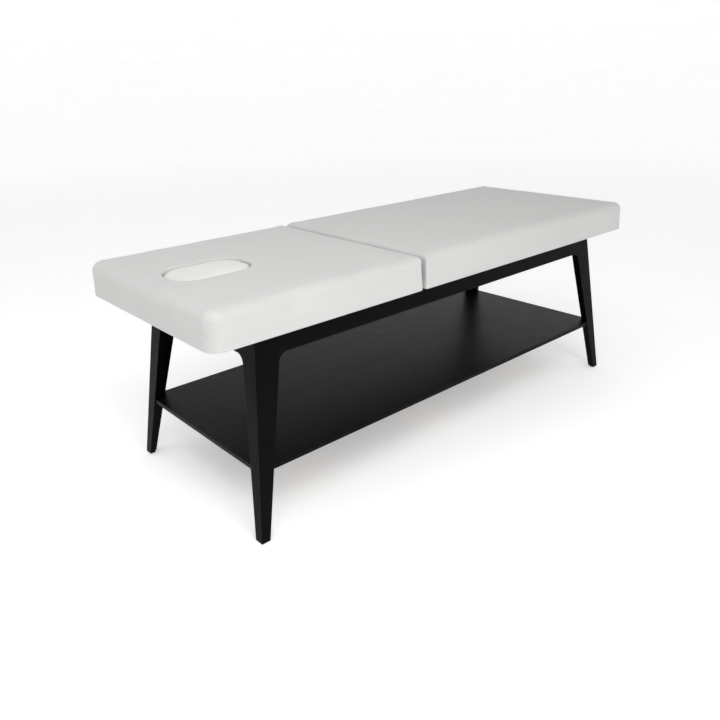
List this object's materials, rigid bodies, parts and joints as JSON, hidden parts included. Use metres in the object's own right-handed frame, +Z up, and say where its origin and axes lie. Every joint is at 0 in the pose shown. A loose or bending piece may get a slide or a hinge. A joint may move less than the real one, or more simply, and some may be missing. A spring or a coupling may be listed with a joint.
{
  "type": "massage table with face cushion",
  "caption": "Fixed-height massage table with a splayed black frame and shelf, a tilting head section and a lift-out oval face cushion that closes the face opening.",
  "frame": {"origin": "bottom centre of the whole table, on the floor", "axes": "+X towards the foot end, +Y towards the far long side, +Z up"},
  "size_m": [1.85, 0.7, 0.685],
  "materials": {
    "frame_lacquer": "satin black lacquer on beech",
    "shelf_lacquer": "satin black lacquered board",
    "glide_nylon": "moulded nylon",
    "plywood": "birch plywood, raw",
    "foam": "polyurethane foam",
    "cover_leather": "off-white imitation leather, fine grain",
    "face_leather": "off-white imitation leather, fine grain",
    "lining_cloth": "black non-woven",
    "zinc_steel": "zinc plated",
    "black_steel": "black powder coat",
    "beech": "raw beech"
  },
  "bodies": {
    "frame": {"leg_head_near": "frame_lacquer", "leg_head_far": "frame_lacquer", "leg_foot_near": "frame_lacquer", "leg_foot_far": "frame_lacquer", "floor_glides": "glide_nylon", "side_rail_near": "frame_lacquer", "side_rail_far": "frame_lacquer", "end_rail_head": "frame_lacquer", "end_rail_foot": "frame_lacquer", "hinge_beam": "frame_lacquer", "foot_beam": "frame_lacquer", "joint_plates": "zinc_steel", "joint_screws": "zinc_steel", "shelf_board_near": "shelf_lacquer", "shelf_board_far": "shelf_lacquer", "shelf_battens": "frame_lacquer", "shelf_dowels": "beech", "shelf_screws": "zinc_steel", "foot_board": "plywood", "foot_foam": "foam", "foot_cover": "cover_leather", "foot_lining": "lining_cloth", "foot_section_screws": "zinc_steel", "pivot_plates_fixed": "black_steel", "pivot_pins": "zinc_steel", "beam_screws": "zinc_steel", "rack_near": "beech", "rack_far": "beech", "rack_screws": "zinc_steel"},
    "head_section": {"head_board": "plywood", "head_foam": "foam", "head_cover": "cover_leather", "head_lining": "lining_cloth", "opening_liner": "face_leather", "head_battens": "frame_lacquer", "head_batten_screws": "zinc_steel", "pivot_plates_moving": "black_steel", "flange_screws": "zinc_steel", "prop_brackets": "black_steel", "bracket_screws": "zinc_steel", "prop_pins": "zinc_steel"},
    "prop_stay": {"prop_arm_near": "black_steel", "prop_arm_far": "black_steel", "prop_foot_bar": "black_steel"},
    "face_cushion": {"face_cushion_board": "plywood", "face_cushion_foam": "foam", "face_cushion_cover": "face_leather"}
  },
  "joints": [
    {"name": "head_tilt", "type": "hinge", "parent": "frame", "child": "head_section", "pos_m": [-0.212, 0, 0.652], "axis": [0, 1, 0], "range_deg": [0, 45]},
    {"name": "prop_swing", "type": "hinge", "parent": "head_section", "child": "prop_stay", "pos_m": [-0.642, 0, 0.558], "axis": [0, 1, 0], "range_deg": [0, 8.1]},
    {"name": "face_cushion_lift", "type": "slide", "parent": "head_section", "child": "face_cushion", "axis": [0, 0, 1], "range_m": [0, 0.14]}
  ],
  "couplings": [
    {"joint": "prop_swing", "follows": "head_tilt", "ratio": 0.18}
  ]
}
